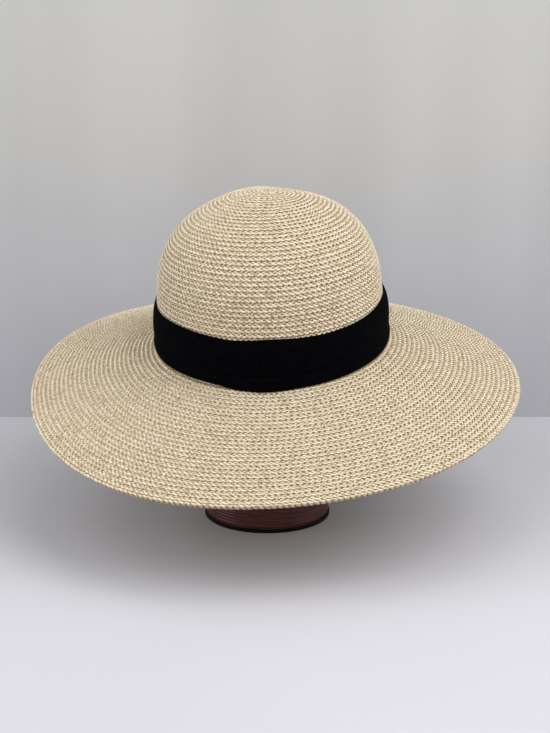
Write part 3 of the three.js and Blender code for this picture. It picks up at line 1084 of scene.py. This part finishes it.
@dataclass
class Bow:
    """Flat bow of the same ribbon on the upper pleat: two loops held by a wrapped knot."""

    form: HatForm
    cloth: Material
    centre_degrees: float = 50.0
    middle_height: float = 26.0
    back: float = 4.6
    ribbon: float = 0.9
    turns: int = 72
    lanes: int = 17
    loop_start: float = 5.2
    loop_length: float = 36.5
    puffs: tuple[float, float] = (0.7, 1.3)
    half_heights: tuple[float, float] = (8.0, 11.6)
    gather: float = 0.55
    gather_waves: float = 2.5
    cup: float = 0.5
    loop_flat: tuple[float, float] = (0.0232, 0.082)
    knot_half_length: float = 5.6
    knot_half_depth: float = 2.7
    knot_half_height: float = 9.5
    knot_pleat: float = 0.22
    knot_waves: float = 3.0
    knot_waist: float = 0.22
    knot_shoulder: float = 0.05
    squareness: float = 0.55
    knot_flat: tuple[float, float] = (0.013, 0.048)

    def place(self, along: Array, stand_off: Array, height: Array) -> Array:
        """Points so far along the band from the bow's centre, so far off the crown, at a height."""
        angle = math.radians(self.centre_degrees) + along / (self.form.base_half_width + self.back)
        half_width = np.full_like(angle, self.form.base_half_width)
        return self.form.oval_points(half_width, stand_off, angle, height)

    def finish(self, name: str, node: str, layers: list[Array], flat: tuple[float, float]) -> Piece:
        """Args:
            name: Name of the piece.
            node: The solid that it stands for.
            layers: Outer and inner points, turns by lanes.
            flat: Width and length of the ribbon cut in metres; not used.

        Returns:
            The piece.
        """
        outer = layers[0]
        run = np.linalg.norm(np.diff(outer, axis=0, append=outer[:1]), axis=-1)
        side = np.linalg.norm(np.diff(outer, axis=1, prepend=outer[:, :1]), axis=-1)
        attributes = {"along": np.cumsum(run, axis=0), "across": np.cumsum(side, axis=1)}
        piece = self.form.make_wall(name, layers, attributes)
        dress(piece, self.cloth, Slot.RIBBON, node)
        return piece

    def loop(self, side: int, name: str, node: str) -> Piece:
        """Make one loop: a back layer on the band and a front layer, joined by the fold at its free end.

        Args:
            side: 1 for the loop towards the back of the hat, -1 for the one towards the front.
            name: Name of the piece.
            node: The solid that it stands for.

        Returns:
            The piece. Gathers run out from the knot on the front layer and fade along the loop.
        """
        turn, lane = grid(full_turn(self.turns), np.linspace(-1, 1, self.lanes))
        share = (1 - np.cos(turn)) / 2
        front = np.clip(np.sin(turn), 0, 1)
        puff = self.puffs[0] + (self.puffs[1] - self.puffs[0]) * share
        half_height = self.half_heights[0] + (self.half_heights[1] - self.half_heights[0]) * np.sqrt(share)
        gather = self.gather * (1 - share) ** 2 * np.cos(self.gather_waves * math.pi * lane) * front
        cup = -self.cup * lane**2 * share * front
        layers = []
        for inset in (0.0, self.ribbon):
            along = self.loop_start + inset + (self.loop_length - 2 * inset) * share
            off = self.back + puff + (puff + self.ribbon / 2 - inset) * np.sin(turn) + gather + cup
            layers.append(self.place(side * along, off, self.middle_height + lane * half_height))
        return self.finish(name, node, layers, self.loop_flat)

    def knot(self) -> Piece:
        """Make the knot: a narrow ribbon wrapped round the middle, pleated along its run."""
        turn, lane = grid(full_turn(self.turns), np.linspace(-1, 1, self.lanes))
        round_it = np.cos(turn), np.sin(turn)
        out, up = [np.sign(value) * np.abs(value) ** self.squareness for value in round_it]
        waist, shoulder = 1 - self.knot_waist * lane**2, 1 - self.knot_shoulder * lane**2
        pleat = self.knot_pleat * np.cos(self.knot_waves * math.pi * lane) * np.clip(np.cos(turn), 0, 1)
        middle = self.back + self.knot_half_depth - self.ribbon
        layers = []
        for inset in (0.0, self.ribbon):
            off = middle + (self.knot_half_depth * waist - inset) * out + pleat
            height = self.middle_height + (self.knot_half_height * shoulder - inset) * up
            layers.append(self.place(self.knot_half_length * lane, off, height))
        return self.finish("bow_knot_wrap", "bow_knot", layers, self.knot_flat)

    def build(self) -> list[Piece]:
        """Make the two loops and the knot."""
        return [
            self.loop(-1, "bow_loop_front_ribbon", "bow_loop_front"),
            self.loop(1, "bow_loop_back_ribbon", "bow_loop_back"),
            self.knot(),
        ]


# Stand


@dataclass
class Stand:
    """Plain turned stand: a grooved drum on a black foot. Its post and cap are the solids themselves."""

    wood: Material
    rubber: Material
    sides: int = 144
    foot_radius: float = 49.9
    foot_inner_radius: float = 30.0
    foot_rim: float = 1.6
    foot_height: float = 2.5
    foot_bevel: float = 0.7
    foot_chamfer: float = 0.3
    bevel_points: int = 7
    drum_radius: float = 48.8
    drum_bottom: float = 2.65
    drum_height: float = 34.9
    drum_edge: float = 1.0
    edge_inset: float = 0.1
    wall_inset: float = 0.05
    edge_places: tuple[float, ...] = (0.0, 0.004, 0.3)
    bottom_heights: tuple[float, float] = (0.4, 0.0)
    bottom_insets: tuple[float, float] = (0.2, 0.5)
    grooves: int = 14
    groove_depth: float = 0.24
    groove_steps: int = 12

    def turned(self, name: str, radii: Array, heights: Array) -> Piece:
        """Make a turned piece with flat ends.

        Args:
            name: Name of the piece.
            radii: Radius of each row in millimetres, from the top down.
            heights: Height of each row in millimetres.

        Returns:
            The piece.
        """
        angle, rows = full_turn(self.sides)[:, None], len(radii)
        level = np.broadcast_to(heights, (self.sides, rows))
        points = np.stack([radii * np.cos(angle), radii * np.sin(angle), level], -1)
        top = (np.arange(self.sides) * rows)[None, ::-1]
        bottom = (np.arange(self.sides) * rows + rows - 1)[None]
        faces = [ring_faces(self.sides, rows, False), top, bottom]
        return make_piece(name, points.reshape(-1, 3) * MM, faces)

    def build_drum(self) -> Piece:
        """Make the drum. A groove's depth is the cube of a cosine wave, so that broad ribs stand between."""
        run = np.linspace(0, 1, self.groove_steps * self.grooves + 1)
        top = self.drum_bottom + self.drum_height
        valley = (0.5 + 0.5 * np.cos(2 * math.pi * self.grooves * run)) ** 3
        wall = self.drum_radius - self.wall_inset - self.groove_depth * valley
        wall_heights = top - self.drum_edge - run * (self.drum_height - 2 * self.drum_edge)
        edge = np.array(self.edge_places)
        radii = [
            self.drum_radius - self.drum_edge * (1 - edge) - self.edge_inset,
            wall,
            self.drum_radius - np.array(self.bottom_insets),
        ]
        heights = [
            top - self.drum_edge * edge,
            wall_heights,
            self.drum_bottom + np.array(self.bottom_heights),
        ]
        drum = self.turned("drum_turned", np.concatenate(radii), np.concatenate(heights))
        dress(drum, self.wood, Slot.WOOD, "stand_drum")
        return drum

    def build_foot(self) -> Piece:
        """Make the foot, with a round upper edge and a small chamfer below."""
        bend = np.linspace(0, math.pi / 2, self.bevel_points)
        radii = [
            [self.foot_inner_radius, self.foot_radius - self.foot_rim],
            self.foot_radius - self.foot_bevel * (1 - np.sin(bend)),
            [self.foot_radius, self.foot_radius - self.foot_chamfer],
        ]
        heights = [
            [self.foot_height] * 2,
            self.foot_height - self.foot_bevel * (1 - np.cos(bend)),
            [self.foot_chamfer, 0.0],
        ]
        foot = self.turned("foot_ring", np.concatenate(radii), np.concatenate(heights))
        dress(foot, self.rubber, Slot.FOOT, "stand_foot")
        return foot

    def build(self) -> list[Piece]:
        """Make the drum and the foot."""
        return [self.build_drum(), self.build_foot()]


# Stage, light and camera


@dataclass(frozen=True)
class SoftLight:
    """A square light: its name, place and side in metres, power in watts and sRGB colour."""

    name: str
    place: tuple[float, float, float]
    size: float
    power: float
    colour: str = "#ffffff"


@dataclass
class Studio:
    """Pale floor and backdrop, soft light from above, and the camera at the photograph's place."""

    camera_place: tuple[float, float, float] = (0.0062, -1.163, 0.4203)
    camera_pitch_degrees: float = 14.456
    focal_pixels: float = 1529.0
    long_side_pixels: float = 733.0
    sensor: float = 36.0
    stage_reach: float = 2.4
    wall_top: float = 2.2
    wall_distance: float = 0.27
    wall_lean: float = 0.1
    # painted falloff of light: the floor darkens towards the backdrop, and the backdrop lightens upwards
    floor_cloth: BackdropCloth = BackdropCloth(
        "floor_sheet", "#c5c4c9", "#b6b6ba", "Y", (-0.22, 0.22), (3.0, 3.0, 3.0), 0.02
    )
    wall_cloth: BackdropCloth = BackdropCloth(
        "backdrop_sheet", "#acacb1", "#b5b5b2", "Z", (0.04, 0.34), (9.0, 9.0, 1.2), 0.05
    )
    light_target: tuple[float, float, float] = (0.0, 0.0, 0.15)
    lights: tuple[SoftLight, ...] = (
        SoftLight("front_left_light", (-0.9, -0.7, 1.2), 1.3, 7.4),
        SoftLight("front_right_light", (0.9, -0.7, 1.2), 1.2, 14.6),
        SoftLight("camera_side_light", (0.0, -2.0, 0.35), 1.4, 5.2, "#ffe3d2"),
        SoftLight("left_light", (-1.6, -0.3, 0.6), 1.2, 9.6),
        SoftLight("right_light", (1.6, -0.1, 0.8), 1.4, 9.4),
        SoftLight("top_light", (0.3, 0.0, 1.5), 1.0, 4.6),
    )
    room_colour: str = "#e8ecf2"
    room_strength: float = 0.49

    def build_stage(self) -> None:
        """Make the floor and the backdrop, two flat sheets that meet behind the object."""
        reach, back, lean = self.stage_reach, self.wall_distance, self.wall_distance + self.wall_lean
        low = [[-reach, back, 0], [reach, back, 0]]
        corners = {
            "floor": [[-reach, -reach, 0], [reach, -reach, 0], low[1], low[0]],
            "backdrop": [*low, [reach, lean, self.wall_top], [-reach, lean, self.wall_top]],
        }
        for (name, points), cloth in zip(corners.items(), (self.floor_cloth, self.wall_cloth)):
            sheet = make_piece(name, np.array(points), [np.array([[0, 1, 2, 3]])], closed=False)
            sheet.data.materials.append(cloth.material())

    def build_light(self) -> None:
        """Add the lights, each facing the target, and the pale surround."""
        for light in self.lights:
            data = bpy.data.lights.new(light.name, "AREA")
            data.shape = "SQUARE"
            data.size = light.size
            data.energy = light.power
            data.color = linear(light.colour)[:3]
            lamp = bpy.data.objects.new(light.name, data)
            lamp.location = light.place
            x, y, z = np.array(self.light_target) - np.array(light.place)
            lamp.rotation_euler = (math.atan2(math.hypot(x, y), -z), 0.0, math.atan2(x, -y) + math.pi)
            bpy.context.scene.collection.objects.link(lamp)
        world = bpy.data.worlds.new("pale_room")
        world.use_nodes = True
        world.node_tree.nodes["Background"].inputs["Color"].default_value = linear(self.room_colour)
        world.node_tree.nodes["Background"].inputs["Strength"].default_value = self.room_strength
        bpy.context.scene.world = world
        bpy.context.scene.view_settings.view_transform = "Standard"

    def build_camera(self) -> None:
        """Add the camera. Its lens = focal length in pixels / long side in pixels times the sensor."""
        lens = bpy.data.cameras.new("camera")
        lens.sensor_width = self.sensor
        lens.lens = self.focal_pixels / self.long_side_pixels * self.sensor
        camera = bpy.data.objects.new("camera", lens)
        camera.location = self.camera_place
        camera.rotation_euler = (math.radians(90 - self.camera_pitch_degrees), 0.0, 0.0)
        bpy.context.scene.collection.objects.link(camera)
        bpy.context.scene.camera = camera


def report(pieces: Sequence[Piece]) -> None:
    """Log each piece with its number of triangles."""
    for piece in pieces:
        triangles = sum(len(face.vertices) - 2 for face in piece.data.polygons)
        log.info("%s: %d triangles", piece.name, triangles)


def main() -> None:
    """Build the studio and every piece in order."""
    logging.basicConfig(level=logging.INFO, format="%(name)s: %(message)s")
    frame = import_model()
    studio = Studio()
    studio.build_camera()
    studio.build_light()
    studio.build_stage()
    form = HatForm()
    straw, ground, cloth = PaperStraw().material(), GROUND_STRAW.material(), Petersham().material()
    wood, rubber = STAINED_BEECH.material(), BLACK_RUBBER.material()
    report(Plait(form, straw, ground).build())
    report(Ribbon(form, cloth).build())
    report(Bow(form, cloth).build())
    report(Stand(wood, rubber).build())
    for node in ("stand_cap", "stand_post"):
        solid = frame["nodes"][node]
        solid.data.materials.clear()
        solid.data.materials.append(wood)


if __name__ == "__main__":
    main()
